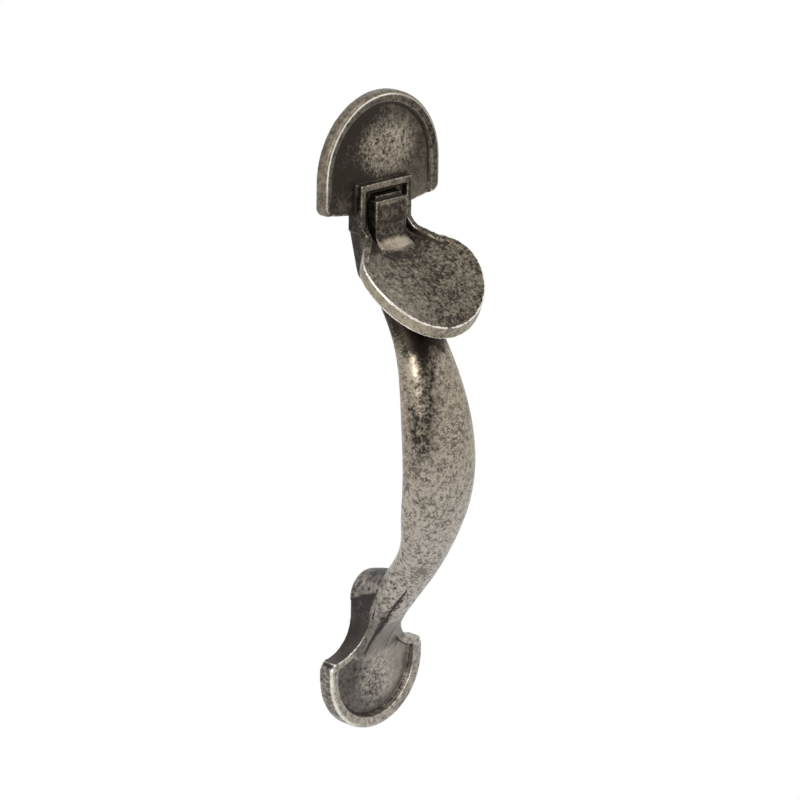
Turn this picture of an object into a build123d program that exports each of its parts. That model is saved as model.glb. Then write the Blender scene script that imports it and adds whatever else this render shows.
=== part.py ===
from build123d import *
from math import cos, radians, sin
import os

# Door pull handle, one metal casting in the style of an old thumb-latch handle.
# A D-shaped backplate, a framed strap, a round thumb disc, a swelling grip,
# a flared foot and a smaller D-shaped backplate are all one piece.
# The origin is on the flat back, midway between the two fixing holes.
# +Z runs up the handle, +X to the right, and the grip stands out towards -Y.
# Heights of the upper forms are from a level a little below the upper hole, and
# those of the lower forms from a level as far below the lower hole.
# "Reach" is the distance forward of the flat back.

# Fixing holes, tapped from the back
hole_spacing = 96.0
hole_radius = 1.65
hole_depth = 4.8
hole_rise = 2.0

# Upper backplate
upper_half_width = 19.4
upper_thickness = 3.1
upper_arc_height = 16.6
upper_edge_height = 8.7
upper_edge_bow = 2.0
upper_corner = 2.4

# Lower backplate
lower_half_width = 15.8
lower_thickness = 4.3
lower_arc_drop = 12.6
lower_horn_drop = 9.2
lower_edge_bow = 0.4
lower_corner = 1.2

# Raised rim of both plates and the slightly domed field inside it
rim_width = 3.0
upper_rim_round = 1.2
lower_rim_round = 1.1
rim_crown = 1.5
rim_slope = 0.4
rim_draft = 0.2
upper_field_depth = 1.2
upper_field_rise = 0.7
lower_field_depth = 2.2
lower_field_rise = 0.3

# Strap frame with its sunk panel and the tongue in it
frame_half_width = 8.5
frame_reach = 4.4
frame_height = 14.5
frame_border = 1.7
border_height = 1.25
border_end_height = 0.8
border_end_reach = 12.0
floor_reach = 2.3
floor_elbow_radius = 7.0
floor_sag = 2.2
floor_sag_reach = 14.0
tongue_half_width = 5.1
tongue_reach = 6.0
tongue_height = 10.5
tongue_flare_height = 2.9
tongue_flare_reach = 8.4
tongue_foot_drop = 0.4
tongue_foot_depth = 1.5
ledge_half_width = 4.3
ledge_step = 1.0

# Thumb disc
disc_radius = 17.4
disc_widest = 1.6
disc_reach = 14.8
disc_drop = 5.3
disc_slope = 38.0
disc_thickness = 3.3
disc_wall_lean = 20.0
disc_hollow_radius = 65.0
disc_shoulder_radius = 10.0
disc_neck_radius = 1.8

# Bracket that carries the disc and the top of the grip
bracket_height = 4.5
bracket_toe_half_width = 5.6
bracket_toe_drop = 11.6
bracket_toe_round = 4.5
bracket_front_reach = 9.5
bracket_front_drop = 4.5

# Grip: place, half width, half depth and reach of its axis at each named station;
# the swells and the belly are placed by their share of the hole spacing
root_drop = 4.0
root_half_width = 6.4
root_half_depth = 5.0
root_reach = 8.2
neck_drop = 15.0
neck_half_width = 6.8
neck_half_depth = 5.2
neck_reach = 11.5
throat_drop = 22.0
throat_half_width = 7.3
throat_half_depth = 5.2
throat_reach = 15.9
upper_swell_place = 0.115
upper_swell_half_width = 9.1
upper_swell_half_depth = 6.5
upper_swell_reach = 20.9
belly_place = -0.03
belly_half_width = 10.2
belly_half_depth = 7.1
belly_reach = 23.3
lower_swell_place = -0.21
lower_swell_half_width = 8.8
lower_swell_half_depth = 6.4
lower_swell_reach = 21.7
wrist_height = 15.7
wrist_half_width = 6.8
wrist_half_depth = 5.6
wrist_reach = 15.5
heel_height = 6.0
heel_half_width = 5.7
heel_half_depth = 4.4
heel_reach = 9.6
instep_half_width = 5.5
instep_half_depth = 2.8
instep_reach = 6.6
ball_drop = 6.0
ball_half_width = 8.2
ball_half_depth = 2.2
ball_reach = 2.9
toe_drop = 14.0
toe_half_width = 10.0
toe_half_depth = 1.3
toe_reach = 1.0

# Foot that joins the grip to the lower plate
foot_half_width = 5.7
foot_flare_radius = 9.2
foot_flare_height = 0.9
foot_crown_height = 11.8
foot_spring_height = 4.1
foot_ridge_width = 2.0
shoulder_slope = 0.6
shoulder_inset = 0.2
shoulder_drop = 2.0
shoulder_lines = [(0, 0), (4.5, 1.4), (10.5, 2.0)]
ridge_crest = [(11.6, 11.0), (8.0, 5.0), (6.7, 0.4), (5.8, -3.0), (4.6, -7.2)]
valley_line = [(3.2, -5.0), (6.2, 0.2), (11.5, 14.0)]
crease_place = 3.7
crease_radius = 0.6
crease_lift = 0.26
crease_fade = 0.6

head_z = hole_spacing / 2 - hole_rise
foot_z = -hole_spacing / 2 - hole_rise

side = Plane(origin=(0, 0, 0), x_dir=(0, -1, 0), z_dir=(-1, 0, 0))


def backplate(half_width, thickness, arc_z, edge_z, edge_bow, corner, rim_round, field_depth, field_rise, way):
    """A D-shaped plate; way is 1 with its round end up, -1 with it down."""
    field = thickness - field_depth
    inner = half_width - rim_width
    above = thickness + rim_round
    with BuildPart() as plate:
        with BuildSketch(Plane.XZ):
            with BuildLine():
                Line((-half_width, edge_z), (-half_width, arc_z))
                ThreePointArc((-half_width, arc_z), (0, arc_z + way * half_width), (half_width, arc_z))
                Line((half_width, arc_z), (half_width, edge_z))
                ThreePointArc((half_width, edge_z), (0, edge_z - way * edge_bow), (-half_width, edge_z))
            outline = make_face()
            fillet(outline.vertices().filter_by(lambda v: abs(v.Y - edge_z) < 0.01), radius=corner)
        extrude(amount=thickness)
        fillet(plate.faces().sort_by(Axis.Y)[0].edges(), radius=rim_round)
        with BuildSketch(Plane.XY.offset(arc_z)) as hollow:
            with BuildLine():
                Line((0, -above), (half_width - rim_crown, -above))
                Line((half_width - rim_crown, -above), (half_width - rim_crown, -thickness))
                Line((half_width - rim_crown, -thickness), (inner + rim_draft, rim_slope - thickness))
                Line((inner + rim_draft, rim_slope - thickness), (inner, -field))
                ThreePointArc((inner, -field), (inner / 2, -field - 0.75 * field_rise), (0, -field - field_rise))
                Line((0, -field - field_rise), (0, -above))
            make_face()
        revolve(axis=Axis((0, 0, arc_z), (0, -way, 0)), revolution_arc=180, mode=Mode.SUBTRACT)
        with BuildSketch(Plane.XY.offset(arc_z)):
            add(hollow.sketch)
            mirror(about=Plane.YZ)
        extrude(amount=edge_z - arc_z - way * (edge_bow + 1), mode=Mode.SUBTRACT)
    return plate.part


upper_plate = backplate(
    upper_half_width,
    upper_thickness,
    head_z + upper_arc_height,
    head_z + upper_edge_height,
    upper_edge_bow,
    upper_corner,
    upper_rim_round,
    upper_field_depth,
    upper_field_rise,
    1,
)
lower_plate = backplate(
    lower_half_width,
    lower_thickness,
    foot_z - lower_arc_drop,
    foot_z - lower_horn_drop,
    lower_edge_bow,
    lower_corner,
    lower_rim_round,
    lower_field_depth,
    lower_field_rise,
    -1,
)

# Thumb disc: its outline lies in a plane that slopes down and forward, and its
# edge wall leans back a little from the vertical
disc_z = head_z - disc_drop
slope = radians(disc_slope)
lean = radians(disc_wall_lean)
disc_plane = Plane(origin=(0, -disc_reach, disc_z), x_dir=(1, 0, 0), z_dir=(0, -sin(slope), cos(slope)))
wall_up = (0, -sin(lean), cos(lean))
disc_span = 2 * disc_radius
shoulder_x = disc_radius - disc_shoulder_radius


def disc_outline(inset):
    """Nearly round in front, drawn in behind to the width of the strap."""
    radius = disc_radius - inset
    shoulder = disc_shoulder_radius - inset
    strap = frame_half_width - inset
    turn_x = shoulder_x + shoulder * sin(radians(45))
    turn_y = shoulder * sin(radians(45)) - disc_widest
    join_y = turn_y + turn_x - strap
    with BuildSketch(disc_plane) as outline:
        with BuildLine():
            EllipticalCenterArc((0, -disc_widest), radius, radius - disc_widest, 180, arc_size=180)
            RadiusArc((radius, -disc_widest), (turn_x, turn_y), -shoulder)
            Line((turn_x, turn_y), (strap, join_y))
            Line((strap, join_y), (strap, disc_span))
            Line((strap, disc_span), (-strap, disc_span))
            Line((-strap, disc_span), (-strap, join_y))
            Line((-strap, join_y), (-turn_x, turn_y))
            RadiusArc((-turn_x, turn_y), (-radius, -disc_widest), -shoulder)
        make_face()
        necks = outline.vertices().filter_by(lambda v: abs(v.Y - join_y) < 0.01)
        fillet(necks, radius=disc_neck_radius + inset)
    return outline.sketch


def slope_z(reach, height=0):
    """Height of a line along the disc's middle, raised squarely off its trough."""
    return disc_z + (disc_reach - reach) * sin(slope) / cos(slope) + height / cos(slope)


# The disc's top is a shallow trough, and its underside follows it
half_span = 1.2 * disc_radius
tail_reach = frame_reach - 0.5
span_rise = half_span**2 / (2 * disc_hollow_radius)
under = disc_thickness * cos(slope - lean)
trough_plane = Plane(
    origin=(0, -disc_reach - disc_span * cos(slope), disc_z - disc_span * sin(slope)),
    x_dir=(1, 0, 0),
    z_dir=(0, -cos(slope), -sin(slope)),
)
rim_outline = disc_outline(0)
inner_outline = disc_outline(frame_border)
with BuildPart() as disc:
    with BuildSketch(trough_plane):
        with BuildLine():
            ThreePointArc((-half_span, span_rise), (0, 0), (half_span, span_rise))
            Line((half_span, span_rise), (half_span, span_rise - under))
            ThreePointArc((half_span, span_rise - under), (0, -under), (-half_span, span_rise - under))
            Line((-half_span, span_rise - under), (-half_span, span_rise))
        make_face()
    extrude(amount=-2 * disc_span)
    extrude(rim_outline, amount=disc_span, dir=wall_up, both=True, mode=Mode.INTERSECT)
    with BuildSketch(side):
        Polygon(
            (tail_reach, disc_z - disc_span),
            (disc_span, disc_z - disc_span),
            (disc_span, head_z + upper_edge_height),
            (tail_reach, head_z + upper_edge_height),
            align=None,
        )
    extrude(amount=disc_span, both=True, mode=Mode.INTERSECT)

# Border strip: the strap's raised border runs on round the back of the disc
# and dies out where the trough's sides rise to its height
with BuildPart() as strip:
    extrude(rim_outline, amount=disc_span, dir=wall_up, both=True)
    extrude(inner_outline, amount=disc_span, dir=wall_up, both=True, mode=Mode.SUBTRACT)
    with BuildSketch(side):
        Polygon(
            (0, slope_z(frame_reach)),
            (0, slope_z(frame_reach, border_height)),
            (frame_reach, slope_z(frame_reach, border_height)),
            (border_end_reach, slope_z(border_end_reach, border_end_height)),
            (border_end_reach, slope_z(border_end_reach)),
            (frame_reach, slope_z(frame_reach)),
            align=None,
        )
    extrude(amount=disc_span, both=True, mode=Mode.INTERSECT)


def arch(reach, half_base, base_z, half_spring, spring_z, crown_z):
    """An arch lying at one reach in front of the back, for the bracket and the foot."""
    with BuildSketch(Plane.XZ.offset(reach)) as face:
        with BuildLine():
            Line((-half_base, base_z), (-half_spring, spring_z))
            ThreePointArc((-half_spring, spring_z), (0, crown_z), (half_spring, spring_z))
            Line((half_spring, spring_z), (half_base, base_z))
            Line((half_base, base_z), (-half_base, base_z))
        make_face()
    return face.sketch


# Strap, and the bracket that carries the disc: from the back to the underside
# of the disc, with a toe that sweeps down into the grip
frame_top = head_z + frame_height
edge_z = head_z + upper_edge_height
toe_z = head_z - bracket_toe_drop
bracket_base = head_z + bracket_height
toe_spring = toe_z + bracket_toe_round
bracket_arches = [
    arch(0, frame_half_width, bracket_base, bracket_toe_half_width, toe_spring, toe_z),
    arch(
        bracket_front_reach,
        frame_half_width,
        bracket_base,
        bracket_toe_half_width,
        toe_spring - bracket_front_drop,
        toe_z - bracket_front_drop,
    ),
]
with BuildPart() as bracket:
    loft(bracket_arches)
    with BuildSketch(Plane.XZ):
        with Locations((0, bracket_base)):
            Rectangle(2 * frame_half_width, frame_top - bracket_base, align=(Align.CENTER, Align.MIN))
    extrude(amount=frame_reach)
    with BuildSketch(side):
        Polygon(
            (0, toe_z - disc_span),
            (0, frame_top),
            (frame_reach, frame_top),
            (frame_reach, slope_z(frame_reach, border_height)),
            (bracket_front_reach, slope_z(bracket_front_reach, -1)),
            (bracket_front_reach, toe_z - disc_span),
            align=None,
        )
    extrude(amount=disc_span, both=True, mode=Mode.INTERSECT)

# Grip: a smooth swelling bar of elliptical section
stations = [
    (head_z - root_drop, root_reach, root_half_width, root_half_depth),
    (head_z - neck_drop, neck_reach, neck_half_width, neck_half_depth),
    (head_z - throat_drop, throat_reach, throat_half_width, throat_half_depth),
    (upper_swell_place * hole_spacing, upper_swell_reach, upper_swell_half_width, upper_swell_half_depth),
    (belly_place * hole_spacing, belly_reach, belly_half_width, belly_half_depth),
    (lower_swell_place * hole_spacing, lower_swell_reach, lower_swell_half_width, lower_swell_half_depth),
    (foot_z + wrist_height, wrist_reach, wrist_half_width, wrist_half_depth),
    (foot_z + heel_height, heel_reach, heel_half_width, heel_half_depth),
    (foot_z, instep_reach, instep_half_width, instep_half_depth),
    (foot_z - ball_drop, ball_reach, ball_half_width, ball_half_depth),
    (foot_z - toe_drop, toe_reach, toe_half_width, toe_half_depth),
]
with BuildPart() as grip:
    for z, reach, half_width, half_depth in stations:
        with BuildSketch(Plane(origin=(0, -reach, z))):
            Ellipse(half_width, half_depth)
    loft()
    with BuildSketch(Plane.XZ):
        Rectangle(2 * hole_spacing, 2 * hole_spacing)
    extrude(amount=disc_span, mode=Mode.INTERSECT)

# Crease: a shallow groove down each side of the grip's front, which parts it
# from the foot's ridges and fades out at both ends
crease_side = Plane(origin=(crease_place, 0, 0), x_dir=(0, -1, 0), z_dir=(-1, 0, 0))
crease_points = []
for z, reach, half_width, half_depth in stations[-5:]:
    surface = reach + half_depth * (1 - (crease_place / half_width) ** 2) ** 0.5
    fade = crease_fade if z in (stations[-5][0], stations[-1][0]) else 0
    crease_points.append((surface + crease_lift + fade, z))
with BuildPart() as crease:
    with BuildLine(crease_side) as crease_path:
        Spline(*crease_points)
    with BuildSketch(Plane(origin=crease_path.line @ 0, z_dir=crease_path.line % 0)):
        Circle(crease_radius)
    sweep()
    mirror(about=Plane.YZ)

# Foot: flat sides that flare out to the lower plate, a raised ridge along each
# side, and a rounded shoulder behind the grip
flare_x = foot_half_width + foot_flare_radius
flare_z = foot_z + foot_flare_height
foot_base = foot_z - lower_arc_drop


def foot_outline(inset, top):
    """Straight sides, then a quarter circle out to each horn of the plate."""
    radius = foot_flare_radius + inset
    edge = foot_half_width - inset
    with BuildSketch(Plane.XZ) as outline:
        with BuildLine():
            Line((-edge, top), (-edge, flare_z))
            RadiusArc((-edge, flare_z), (-flare_x, flare_z - radius), radius)
            Line((-flare_x, flare_z - radius), (-flare_x, foot_base))
            Line((-flare_x, foot_base), (flare_x, foot_base))
            Line((flare_x, foot_base), (flare_x, flare_z - radius))
            RadiusArc((flare_x, flare_z - radius), (edge, flare_z), radius)
            Line((edge, flare_z), (edge, top))
            Line((edge, top), (-edge, top))
        make_face()
    return outline.sketch


spring = foot_z + foot_spring_height
field = lower_thickness - lower_field_depth
crest_top = ridge_crest[0][0]
foot_sides = foot_outline(0, foot_z + 4 * foot_spring_height)
foot_inside = foot_outline(foot_ridge_width, foot_z + 4 * foot_spring_height)
shoulder_width = foot_half_width - shoulder_inset
shoulder_arches = []
for reach, lift in shoulder_lines:
    rise = spring + shoulder_slope * reach
    crown = foot_z + foot_crown_height + lift
    shoulder_arches.append(arch(reach, shoulder_width, rise - shoulder_drop, shoulder_width, rise, crown))
crest = [(reach, foot_z + height) for reach, height in ridge_crest] + [(lower_thickness - 0.4, foot_base)]
valley = [(field + 0.2, foot_base)] + [(reach, foot_z + height) for reach, height in valley_line]
with BuildPart() as scoop:
    with BuildSketch(side):
        with BuildLine():
            Spline(*valley, tangents=((0.05, 1), (0.5, 1)))
            Line(valley[-1], (2 * crest_top, valley[-1][1]))
            Line((2 * crest_top, valley[-1][1]), (2 * crest_top, foot_base))
            Line((2 * crest_top, foot_base), valley[0])
        make_face()
    extrude(amount=disc_span, both=True)
    extrude(foot_inside, amount=2 * crest_top, mode=Mode.INTERSECT)
with BuildPart() as foot:
    extrude(foot_sides, amount=crest_top + 1)
    add(scoop.part, mode=Mode.SUBTRACT)
    with BuildSketch(side):
        with BuildLine():
            Line((0, foot_base), (0, spring))
            Line((0, spring), crest[0])
            Spline(*crest)
            Line(crest[-1], (0, foot_base))
        make_face()
    extrude(amount=disc_span, both=True, mode=Mode.INTERSECT)
    loft(shoulder_arches)

# The sunk panel's floor drops straight down, turns through an elbow, lies a
# little low under the tongue's foot and runs out along the disc as its trough
cut_height = floor_elbow_radius - 0.5
with BuildPart() as panel:
    with BuildLine(side) as floor_path:
        FilletPolyline(
            (disc_reach + disc_span * cos(slope), disc_z - disc_span * sin(slope)),
            (floor_sag_reach, slope_z(floor_sag_reach)),
            (floor_reach, slope_z(floor_reach) - floor_sag),
            (floor_reach, frame_top - frame_border),
            radius=floor_elbow_radius,
        )
    with BuildSketch(trough_plane):
        with BuildLine():
            ThreePointArc((-half_span, span_rise), (0, 0), (half_span, span_rise))
            Line((half_span, span_rise), (half_span, cut_height))
            Line((half_span, cut_height), (-half_span, cut_height))
            Line((-half_span, cut_height), (-half_span, span_rise))
        make_face()
    sweep()
    extrude(inner_outline, amount=disc_span, dir=wall_up, both=True, mode=Mode.INTERSECT)

# Tongue of the latch, lying in the panel with its foot turned out on the disc
tongue_base = head_z - tongue_foot_drop - tongue_foot_depth
with BuildPart() as tongue:
    with BuildSketch(side):
        with BuildLine():
            Line((floor_reach - 1, head_z + tongue_height), (tongue_reach, head_z + tongue_height))
            Line((tongue_reach, head_z + tongue_height), (tongue_reach, head_z + tongue_flare_height))
            TangentArc(
                (tongue_reach, head_z + tongue_flare_height),
                (tongue_flare_reach, head_z - tongue_foot_drop),
                tangent=(0, -1),
            )
            Line((tongue_flare_reach, head_z - tongue_foot_drop), (tongue_flare_reach, tongue_base))
            Line((tongue_flare_reach, tongue_base), (floor_reach - 1, tongue_base))
            Line((floor_reach - 1, tongue_base), (floor_reach - 1, head_z + tongue_height))
        make_face()
    extrude(amount=tongue_half_width, both=True)
    with BuildSketch(Plane.XZ):
        with Locations((0, head_z + tongue_height)):
            Rectangle(2 * ledge_half_width, 2 * ledge_step)
    extrude(amount=tongue_reach - ledge_step)

with BuildPart() as pull_handle:
    add(disc.part)
    add(strip.part)
    add(bracket.part)
    add(grip.part)
    add(panel.part, mode=Mode.SUBTRACT)
    add(tongue.part)
    add(foot.part)
    add(crease.part, mode=Mode.SUBTRACT)
    add(upper_plate)
    add(lower_plate)
    for hole_z in (hole_spacing / 2, -hole_spacing / 2):
        with Locations(Plane(origin=(0, 0, hole_z), z_dir=(0, 1, 0))):
            Hole(radius=hole_radius, depth=hole_depth)

os.makedirs("parts", exist_ok=True)
pull_handle.part.label = "pull_handle"
export_step(pull_handle.part, "parts/pull_handle.step")
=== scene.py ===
import math

import bmesh
import bpy
import numpy as np
from mathutils import Matrix, Vector, kdtree


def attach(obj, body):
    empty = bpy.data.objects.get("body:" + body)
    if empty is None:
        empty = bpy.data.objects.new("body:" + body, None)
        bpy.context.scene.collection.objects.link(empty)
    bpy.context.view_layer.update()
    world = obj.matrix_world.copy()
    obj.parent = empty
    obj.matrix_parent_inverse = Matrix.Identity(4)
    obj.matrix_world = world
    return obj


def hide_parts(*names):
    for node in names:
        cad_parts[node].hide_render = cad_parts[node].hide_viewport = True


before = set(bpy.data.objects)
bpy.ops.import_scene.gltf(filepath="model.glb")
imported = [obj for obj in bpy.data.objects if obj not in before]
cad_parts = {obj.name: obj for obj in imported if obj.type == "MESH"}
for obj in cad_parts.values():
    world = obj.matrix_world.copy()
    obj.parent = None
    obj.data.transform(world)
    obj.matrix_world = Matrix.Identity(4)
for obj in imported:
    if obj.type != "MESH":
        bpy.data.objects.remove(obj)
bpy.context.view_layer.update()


# Casting: the whole handle is one casting in dark aged metal, fixed by two screws from
# behind. It is shown by a copy of the solid that is remeshed finely and then evened out,
# so that its corners are soft, as a mould leaves them.
MM = 0.001
weld = 0.002 * MM
corner_angle = math.radians(40)
corner_step = 0.3 * MM
voxel = 0.25 * MM
most_triangles = 190000

cast = bpy.data.objects.new("casting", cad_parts["pull_handle"].data.copy())
bpy.context.scene.collection.objects.link(cast)
shell = bmesh.new()
shell.from_mesh(cast.data)
bmesh.ops.remove_doubles(shell, verts=shell.verts, dist=weld)
corner_points = []
for fold in shell.edges:
    if fold.calc_face_angle(0) > corner_angle:
        steps = max(1, int(fold.calc_length() / corner_step))
        for step in range(steps + 1):
            corner_points.append(fold.verts[0].co.lerp(fold.verts[1].co, step / steps))
shell.to_mesh(cast.data)
shell.free()
corners = kdtree.KDTree(len(corner_points))
for index, point in enumerate(corner_points):
    corners.insert(point, index)
corners.balance()


def applied(piece):
    """The piece's mesh with its modifiers applied, which then come off the piece."""
    graph = bpy.context.evaluated_depsgraph_get()
    mesh = bpy.data.meshes.new_from_object(piece.evaluated_get(graph))
    piece.modifiers.clear()
    return mesh


remesh = cast.modifiers.new("remesh", "REMESH")
remesh.mode = "VOXEL"
remesh.voxel_size = voxel
fine = applied(cast)
cast.data = fine

count = len(fine.vertices)
place = np.zeros(count * 3)
fine.vertices.foreach_get("co", place)
place = place.reshape(-1, 3)
links = np.zeros(len(fine.edges) * 2, int)
fine.edges.foreach_get("vertices", links)
ends = np.concatenate([links[0::2], links[1::2]])
others = np.concatenate([links[1::2], links[0::2]])
degree = np.bincount(ends, minlength=count)[:, None]


def evened(values, times, share=0.5):
    """Each vertex moves by its share towards the mean of its neighbours."""
    for _ in range(times):
        sums = np.stack([np.bincount(ends, values[others, k], count) for k in range(3)], 1)
        values = values + share * (sums / degree - values)
    return values


def risen(values, start, end):
    """0 at the start and 1 at the end, straight between them and level beyond."""
    return np.clip((values - start) / (end - start), 0, 1)


# Every face is evened a little. Open faces are evened much more, where they lie clear of
# the corners and of any raised or sunk form (both distances are in millimetres).
broad_rounds, light_rounds, open_rounds = 150, 4, 80
corner_gap = np.array([corners.find(Vector(p))[2] for p in place])[:, None] / MM
relief = np.linalg.norm(place - evened(place, broad_rounds), axis=1)[:, None] / MM
open_share = 0.5 * np.minimum(risen(corner_gap, 0.6, 2.0), risen(relief, 0.34, 0.20))
place = evened(place, light_rounds)
place = evened(place, open_rounds, open_share)
fine.vertices.foreach_set("co", place.ravel())
fine.update()

# Maps for the finish: how far each point stands out from its surroundings, and how
# squarely it faces the front and upwards
edge_rounds, edge_full = 6, 0.07
normal = np.zeros(count * 3)
fine.vertices.foreach_get("normal", normal)
normal = normal.reshape(-1, 3)
facing = -normal[:, 1]
stand = ((place - evened(place, edge_rounds)) * normal).sum(1) / MM / edge_full
stand = evened(np.repeat(np.clip(stand, -1, 1)[:, None], 3, 1), 1)[:, 0]

# The lip is the line where a plate's rim turns from its face to its outer wall; it is made pale
# and bright partly as polish and partly as a painted highlight.
# It is widest at the left of the lower plate. Places are in millimetres.
across_mm, reach_mm, height_mm = place[:, 0] / MM, -place[:, 1] / MM, place[:, 2] / MM
upper_middle, lower_middle = 60, -62
frame_half_mm, frame_top_mm = 10.5, 62


def outward(middle):
    """True where the surface faces away from the middle of its plate."""
    return normal[:, 0] * across_mm + normal[:, 2] * (height_mm - middle) > 0


upper_turn = (np.abs(across_mm) > frame_half_mm) + (height_mm > frame_top_mm)
upper_turn = upper_turn * (height_mm > 48) * (reach_mm > 1.4) * (reach_mm < 3.3)
upper_turn = upper_turn * outward(upper_middle)
lower_turn = (height_mm < -56) * (reach_mm > 2.9) * (reach_mm < 4.5) * outward(lower_middle)
lower_left = lower_turn * (height_mm < -59.5) * risen(across_mm, -4, -9)
narrow_line = risen(facing, 0.86, 0.92) * risen(facing, 0.993, 0.973)
wide_line = risen(facing, 0.30, 0.45) * risen(facing, 0.92, 0.82)
line = np.maximum(narrow_line * (upper_turn + 0.3 * lower_turn), wide_line * lower_left)
for name, values in (("edge", stand), ("front", facing), ("top", normal[:, 2]), ("lip", line)):
    wear_map = fine.attributes.new(name, "FLOAT", "POINT")
    wear_map.data.foreach_set("value", values.astype(np.float32))
fine.polygons.foreach_set("use_smooth", [True] * len(fine.polygons))

# The flat places need fewer triangles than the corners do
thin = cast.modifiers.new("thin", "DECIMATE")
thin.ratio = most_triangles / (2 * len(fine.polygons))
cast.data = applied(cast)
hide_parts("pull_handle")
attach(cast, "root")


# Finish: dark aged metal, worn to pale metal where hands and edges rub it, with small pits on
# the grip. Each part of the handle wears in its own way, so it has its own masks, from 0 to 1,
# and its own share of the wear; some of the shares are painted shade, painted dark reflections
# and painted highlights. Lengths are in millimetres.
class Wire:
    """A shader socket that takes part in sums and products as a number does."""

    def __init__(self, tree, socket):
        self.tree = tree
        self.socket = socket

    def node(self, kind, inputs, output=0, **settings):
        """Adds a node fed by these inputs, and gives one of its outputs."""
        made = self.tree.nodes.new(kind)
        for key, value in settings.items():
            setattr(made, key, value)
        for key, value in inputs.items():
            if isinstance(value, Wire):
                self.tree.links.new(value.socket, made.inputs[key])
            else:
                made.inputs[key].default_value = value
        return Wire(self.tree, made.outputs[output])

    def math(self, operation, first, second=0.0, **settings):
        inputs = {0: first, 1: second}
        return self.node("ShaderNodeMath", inputs, operation=operation, **settings)

    def __add__(self, other):
        return self.math("ADD", self, other)

    def __radd__(self, other):
        return self.math("ADD", other, self)

    def __sub__(self, other):
        return self.math("SUBTRACT", self, other)

    def __rsub__(self, other):
        return self.math("SUBTRACT", other, self)

    def __mul__(self, other):
        return self.math("MULTIPLY", self, other)

    def __rmul__(self, other):
        return self.math("MULTIPLY", other, self)

    def __neg__(self):
        return self.math("MULTIPLY", self, -1.0)

    def clamp(self):
        return self.math("ADD", self, 0.0, use_clamp=True)

    def ramp(self, start, end):
        """0 below start and 1 above end, with a smooth rise between them."""
        span = {"Value": self, "From Min": start, "From Max": end}
        return self.node("ShaderNodeMapRange", span, interpolation_type="SMOOTHSTEP")

    def rise(self, start, end):
        """A ramp between two lengths in millimetres."""
        return self.ramp(start * MM, end * MM)

    def noise(self, scale, detail, roughness, distortion=0.0):
        """Noise at this many lumps to the metre, from about 0 to 1."""
        inputs = {"Vector": self, "Scale": scale, "Detail": detail, "Roughness": roughness}
        inputs["Distortion"] = distortion
        return self.node("ShaderNodeTexNoise", inputs)

    def vector(self, operation, other, output=0):
        inputs = {0: self, 1: other}
        return self.node("ShaderNodeVectorMath", inputs, output, operation=operation)

    def patch(self, middle, reach):
        """1 at a middle point in millimetres, and 0 from this reach on along each axis."""
        offset = self.vector("SUBTRACT", [MM * value for value in middle])
        scaled = offset.vector("DIVIDE", [MM * value for value in reach])
        return scaled.vector("LENGTH", (0, 0, 0), "Value").ramp(1.0, 0.35)

    def blend(self, first, second):
        """The first colour where this is 0, the second where it is 1."""
        return self.node("ShaderNodeMix", {0: self, 6: first, 7: second}, 2, data_type="RGBA")


finish = bpy.data.materials.new("antique_casting")
finish.use_nodes = True
tree = finish.node_tree
shader = tree.nodes["Principled BSDF"]
coordinates = tree.nodes.new("ShaderNodeTexCoord")
spot = Wire(tree, coordinates.outputs["Object"])
split = tree.nodes.new("ShaderNodeSeparateXYZ")
tree.links.new(spot.socket, split.inputs[0])
right, forward, height = (Wire(tree, split.outputs[k]) for k in range(3))
left = -right
reach = -forward
edge, front, upward, lip = (
    spot.node("ShaderNodeAttribute", {}, "Fac", attribute_name=name)
    for name in ("edge", "front", "top", "lip")
)

# Noises about zero, from the finest to the widest, and the specks that start the pits
grain = spot.noise(1600.0, 3.0, 0.65) - 0.5
mottle = spot.noise(760.0, 4.0, 0.7) - 0.5
blotch = spot.noise(300.0, 3.0, 0.6) - 0.5
cloud = spot.noise(110.0, 2.0, 0.5) - 0.5
speck = spot.noise(1250.0, 2.0, 0.6, 0.8)

# Upper plate: a dark field with a worn middle, and a rim that is palest on its outer wall
head = height.rise(44.0, 45.5)
back = front.ramp(-0.5, -0.9)
upper_field = head * reach.rise(2.75, 2.55) * front.ramp(0.5, 0.8)
upper_patch = spot.patch((1.5, -2.5, 68.2), (12.0, 4.0, 9.0))
neck = height.rise(58.5, 57.5) * right.rise(-9.4, -8.8) * right.rise(9.4, 8.8) * (1.0 - back)
upper_rim = head * reach.rise(3.6, 3.3) * (1.0 - upper_field) * (1.0 - neck)
field_share = 0.19 * right.rise(-10.0, 10.0) - 0.08 + 0.08 * height.rise(62.0, 55.0)
rim_share = 0.15 + 0.19 * front.ramp(0.97, 0.85) - 0.05 * right.rise(0.0, 10.0)
upper_wear = field_share * upper_field + 0.44 * upper_patch + rim_share * upper_rim

# Strap and tongue: worn on the border's top and left and on the tongue's top end, and lightened
# at the tongue's foot as a painted highlight
strap = head * reach.rise(3.3, 3.6)
frame_top = spot.patch((0.0, -4.3, 60.0), (11.0, 1.2, 1.8))
frame_left = spot.patch((-7.8, -4.4, 57.5), (1.6, 1.2, 5.0))
tongue_top = spot.patch((0.0, -6.0, 56.0), (7.0, 1.6, 1.1))
# A painted highlight on the tongue's foot, mottled like the wear
tongue_foot = spot.patch((-0.3, -7.8, 45.8), (7.0, 2.6, 2.2))
tongue_share = 0.8 + 0.4 * right.rise(-2.0, 4.0)
strap_wear_and_highlight = 0.03 * strap + 0.28 * frame_top + 0.12 * frame_left
strap_wear_and_highlight = strap_wear_and_highlight + 0.3 * tongue_top + tongue_share * tongue_foot

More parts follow.
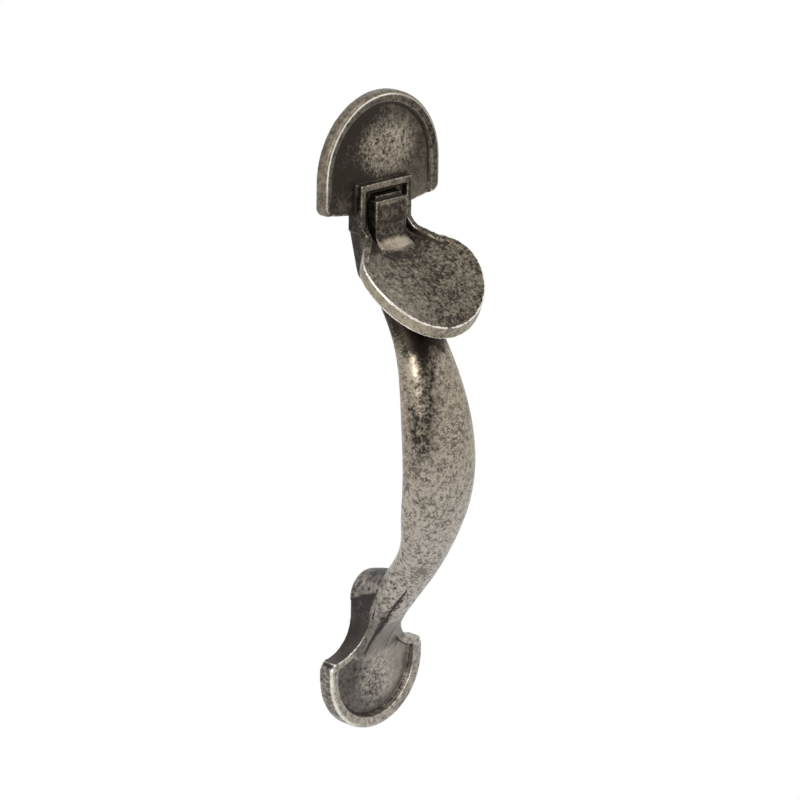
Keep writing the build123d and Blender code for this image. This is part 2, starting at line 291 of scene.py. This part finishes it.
# Thumb disc: worn most at its left and on its wall, and darker behind its middle
disc_slope = 0.78
disc = (height + disc_slope * reach).rise(45.5, 47.5) * reach.rise(7.8, 10.0)
disc_wall = disc * upward.ramp(0.3, 0.0)
disc_shade = spot.patch((1.0, -10.0, 44.5), (7.5, 4.5, 4.0))
disc_share = 0.16 + 0.24 * left.rise(2.0, 11.0) - 0.2 * disc_shade + 0.25 * cloud
disc_wear = disc_share * disc + 0.42 * disc_wall

# Grip: pale and pitted, but with painted shade under the disc and a painted dark reflection in a
# band down its left, which a painted highlight crosses along the lamp's streak
grip_start = reach + 2.0 * MM * blotch
grip = grip_start.rise(8.5, 14.5) * (1.0 - disc) * height.rise(-56.0, -48.0)
# Painted shade under the disc, painted dark reflections down the grip's left, and a painted
# highlight round the streak
throat_painted_shade = spot.patch((0.0, -18.0, 29.5), (14.0, 13.0, 11.0)) * (1.0 - disc)
neck_dark_reflection = spot.patch((-4.8, -20.8, 20.5), (3.8, 7.0, 13.0))
waist_dark_reflection = spot.patch((-8.0, -25.0, 7.0), (4.4, 4.4, 14.0))
streak_highlight = spot.patch((-6.6, -20.4, 19.0), (2.1, 2.8, 6.5))
grip_wear_and_painted_light = (0.74 + 0.12 * height.rise(5.0, -20.0)) * grip + 0.5 * streak_highlight
grip_wear_and_painted_light = grip_wear_and_painted_light - 0.6 * neck_dark_reflection - 0.6 * waist_dark_reflection - 0.95 * throat_painted_shade

# Foot: dark on its flat left side, pale on top and where the grip flows into the plate
foot = height.rise(-36.0, -40.0)
plate_end = height.rise(-47.0, -52.0)
side_top_slope, side_front_slope = 0.45, 0.5
side_top = height - side_top_slope * reach + 0.6 * MM * blotch
side_front = reach - side_front_slope * (height + 45.5 * MM).clamp()
side = foot * left.rise(5.3, 5.6) * front.ramp(0.3, 0.15) * side_top.rise(-44.0, -44.9)
side = side * side_front.rise(7.6, 6.2) * height.rise(-60.0, -58.5)
heel_flow = spot.patch((1.0, -6.0, -53.5), (11.0, 12.0, 13.0))
foot_top = foot * (1.0 - plate_end) * (1.0 - side) * (1.0 - grip) * (1.0 - heel_flow)
foot_wear_and_shade = 0.44 * heel_flow * (1.0 - side) + (0.32 + 0.25 * reach.rise(6.0, 9.0)) * foot_top

# The foot's creases: a dark line with a painted soft shade on the left, a faint one on the right
left_crease = foot * height.rise(-61.0, -58.5) * right.rise(2.5, 1.0)
right_crease = foot * height.rise(-61.5, -59.0) * right.rise(1.5, 2.5)
crease_off = right + 3.6 * MM
crease_width = 1.265 * MM
shade = (crease_off * crease_off).ramp(crease_width**2, 0.0) * front.ramp(-0.1, 0.2)
shade = shade * height.rise(-59.5, -56.0) * height.rise(-38.5, -42.0)
foot_wear_and_shade = foot_wear_and_shade - (0.25 + 0.25 * height.rise(-56.0, -48.0)) * shade
ridge_end = spot.patch((-5.8, -3.1, -59.3), (2.6, 1.8, 2.2))

# Lower plate: a field that is palest in its middle and at its right, and a pale rim with
# a darker outer wall at its left
lower_field = plate_end * reach.rise(3.6, 3.0) * front.ramp(0.5, 0.8)
lower_patch = spot.patch((1.0, -3.0, -66.0), (8.0, 4.0, 10.0))
heel_place = spot.patch((0.0, -4.5, -56.0), (11.0, 12.0, 10.0)).ramp(0.0, 0.5)
lower_rim = plate_end * reach.rise(5.0, 4.6) * (1.0 - lower_field)
lower_rim = lower_rim * (1.0 - side) * (1.0 - heel_place)
left_wall = lower_rim * front.ramp(0.35, 0.1) * left.rise(4.0, 9.0)
lower_right = plate_end * right.rise(0.0, 4.0)
lower_wear = (0.12 + 0.42 * right.rise(0.0, 8.0)) * lower_field + 0.24 * lower_patch
lower_wear = lower_wear + 0.60 * lower_rim - 0.26 * left_wall

# Wear and painted light: the parts' shares, with their painted shade and highlights, mottled
# most where hands rub, more on crests, less in hollows
shares = upper_wear + strap_wear_and_highlight + disc_wear + grip_wear_and_painted_light + foot_wear_and_shade + lower_wear
level = 0.02 + shares + 0.3 * back * (1.0 - grip)
grip_rub = 1.0 + 0.5 * height.rise(0.0, -15.0) - 0.5 * throat_painted_shade
rubbed = 1.5 * upper_patch + 0.35 * upper_rim + 0.4 * strap + 0.4 * tongue_foot + 0.8 * disc
rubbed = rubbed + grip_rub * grip + 1.1 * lower_patch + 0.85 * lower_rim
rubbed = rubbed + 0.7 * foot * (1.0 - plate_end)
lively = (0.25 + 0.75 * rubbed) * (1.0 - 0.75 * side)
fine_wear = 2.2 * mottle + 1.7 * grain + 0.5 * blotch
wide_wear = 0.3 * cloud + 0.5 * (cloud + blotch) * grip
crest = edge.ramp(0.25, 0.8) * (1.0 - ridge_end)
hollow = (-edge).ramp(0.15, 0.7) * (1.0 - left_crease) * (1.0 - 0.75 * right_crease)
hollow = hollow + (-edge).ramp(0.03, 0.35) * left_crease
depth = 0.3 + 0.3 * strap + (0.35 + 0.45 * left_crease) * foot * (1.0 - lower_field)
wear_and_painted_light = level + lively * fine_wear + wide_wear + 0.2 * crest + 0.25 * lip - depth * hollow
wear_and_painted_light = wear_and_painted_light.clamp()

# Polish: bare bright metal on the sharpest edges, brightened further on the thumb disc's edges
# as a painted reflection, and along the lips polish with a painted highlight
bare_and_disc_sheen = edge + 0.36 * disc - 0.08 * strap - 0.6 * ridge_end - 0.15 * lower_right
bare_and_disc_sheen = bare_and_disc_sheen + 0.3 * fine_wear * (1.0 - 0.8 * lower_right)
bare_and_disc_sheen = bare_and_disc_sheen.ramp(0.72, 1.0) * (1.0 - grip) * (1.0 - 0.4 * strap)
# Along the lips: polish and a painted highlight, stronger high on the upper plate, on the lower
# plate and towards the left
lip_polish_and_highlight = 0.35 + 0.5 * fine_wear + 0.7 * height.rise(57.0, 64.0) + 0.4 * plate_end
lip_polish_and_highlight = lip * lip_polish_and_highlight * (0.4 + 0.6 * right.rise(8.0, -2.0))
polish_and_highlight = (bare_and_disc_sheen + lip_polish_and_highlight).clamp()
# Fewer pits where the painted streak highlight lies
pits = (speck + 0.65 * cloud + 0.45 * blotch).ramp(0.56, 0.64) * grip * (1.0 - 0.8 * streak_highlight)

# The metal is cooler towards the foot and warmer towards the head
warm = height.rise(-30.0, 15.0)
dark = warm.blend((0.043, 0.035, 0.032, 1.0), (0.030, 0.023, 0.017, 1.0))
pale_metal = warm.blend((0.48, 0.435, 0.38, 1.0), (0.42, 0.362, 0.277, 1.0))
bright = (0.88, 0.84, 0.74, 1.0)
pit_colour = (0.075, 0.062, 0.050, 1.0)
colour = polish_and_highlight.blend((0.7 * pits).blend(wear_and_painted_light.blend(dark, pale_metal), pit_colour), bright)
tree.links.new(colour.socket, shader.inputs["Base Color"])
rough = (0.42 - 0.08 * wear_and_painted_light - 0.08 * polish_and_highlight + 0.25 * grain).clamp()
tree.links.new(rough.socket, shader.inputs["Roughness"])
shader.inputs["Metallic"].default_value = 0.9
skin = 0.5 * mottle + 0.25 * grain + 0.4 * blotch
unevenness = {"Height": skin, "Strength": 0.4, "Distance": 0.12 * MM}
bump = spot.node("ShaderNodeBump", unevenness, "Normal")
tree.links.new(bump.socket, shader.inputs["Normal"])
cast.data.materials.clear()
cast.data.materials.append(finish)


# Floor: a plain pale sheet well below the handle, which hangs as if on its door. It is
# white to the camera and in the metal, and pale to the light.
floor_half, floor_height = 6.0, -0.3
floor_mesh = bpy.data.meshes.new("floor")
sheet = bmesh.new()
bmesh.ops.create_grid(sheet, x_segments=1, y_segments=1, size=floor_half)
sheet.to_mesh(floor_mesh)
sheet.free()
floor = bpy.data.objects.new("floor", floor_mesh)
floor.location = (0, 0, floor_height)
bpy.context.scene.collection.objects.link(floor)
pale = bpy.data.materials.new("floor_white")
pale.use_nodes = True
base = pale.node_tree.nodes["Principled BSDF"]
base.inputs["Base Color"].default_value = (0.8, 0.8, 0.8, 1)
base.inputs["Roughness"].default_value = 0.9
rays = pale.node_tree.nodes.new("ShaderNodeLightPath")
seen = Wire(pale.node_tree, rays.outputs["Is Camera Ray"])
shown = (seen + Wire(pale.node_tree, rays.outputs["Is Glossy Ray"])).clamp()
glow = seen.node("ShaderNodeEmission", {"Color": (1, 1, 1, 1), "Strength": 1.0})
lit = Wire(pale.node_tree, base.outputs[0])
both = seen.node("ShaderNodeMixShader", {0: shown, 1: lit, 2: glow})
output = pale.node_tree.nodes["Material Output"]
pale.node_tree.links.new(both.socket, output.inputs["Surface"])
floor.data.materials.append(pale)


# World: white where it is seen directly or in the metal, and softer as light. A dark
# slanted band at the front left shows only in the metal, as a dark card in a studio does.
world = bpy.data.worlds.new("studio")
bpy.context.scene.world = world
world.use_nodes = True
sky = world.node_tree.nodes["Background"]
sky.inputs["Color"].default_value = (1, 1, 1, 1)
rays = world.node_tree.nodes.new("ShaderNodeLightPath")
seen = Wire(world.node_tree, rays.outputs["Is Camera Ray"])
glossy = Wire(world.node_tree, rays.outputs["Is Glossy Ray"])
way = world.node_tree.nodes.new("ShaderNodeTexCoord")
toward = Wire(world.node_tree, way.outputs["Generated"])
card_across, card_centre = (0.320, -0.568, -0.758), (-0.60, -0.74, 0.30)
across_card = toward.vector("DOT_PRODUCT", card_across, "Value")
near_card = toward.vector("DOT_PRODUCT", card_centre, "Value")
card = across_card.ramp(-0.16, -0.10) * across_card.ramp(0.32, 0.22) * near_card.ramp(0.62, 0.78)
strength = 0.5 + 0.5 * seen + 0.5 * glossy * (1.0 - card)
strength = strength * (1.0 - 0.82 * glossy * card)
world.node_tree.links.new(strength.socket, sky.inputs["Strength"])


# Lights: a soft key high above the front, and at the front left a long narrow strip that
# makes the grip's streak. Each lamp lies between its two ends and faces the handle.
for name, upper_end, lower_end, width, power in (
    ("key", (-0.36, -0.6, 1.8), (-0.24, -1.0, 1.2), 1.0, 8.0),
    ("strip", (-0.73, -0.75, 0.60), (-0.98, -0.60, 0.37), 0.06, 4.2),
):
    upper_end, lower_end = Vector(upper_end), Vector(lower_end)
    span = upper_end - lower_end
    middle = (upper_end + lower_end) / 2
    lamp = bpy.data.lights.new(name, "AREA")
    lamp.shape = "RECTANGLE"
    lamp.size = width
    lamp.size_y = span.length
    lamp.energy = power
    holder = bpy.data.objects.new(name, lamp)
    away = middle.normalized()
    long_way = (span - span.dot(away) * away).normalized()
    turned = Matrix((long_way.cross(away), long_way, away)).transposed().to_4x4()
    holder.matrix_world = Matrix.Translation(middle) @ turned
    bpy.context.scene.collection.objects.link(holder)


# Camera: 45 degrees left of the front and 18 above it, with the photo's slight tilt
azimuth, elevation, roll = math.radians(45.36), math.radians(18.07), math.radians(1.05)
aim, distance = Vector((0, 0, 0.002)), 1.082
level_part = math.cos(elevation)
outwards = Vector(
    (-math.sin(azimuth) * level_part, -math.cos(azimuth) * level_part, math.sin(elevation))
)
eye = bpy.data.cameras.new("camera")
eye.lens = 202.05
eye.sensor_width = 36.0
eye.shift_x = 0.0375
eye.shift_y = 0.01475
camera = bpy.data.objects.new("camera", eye)
looking = outwards.to_track_quat("Z", "Y").to_matrix().to_4x4()
tilt = Matrix.Rotation(roll, 4, "Z")
camera.matrix_world = Matrix.Translation(aim + distance * outwards) @ looking @ tilt
bpy.context.scene.collection.objects.link(camera)
bpy.context.scene.camera = camera
bpy.context.scene.view_settings.view_transform = "Standard"
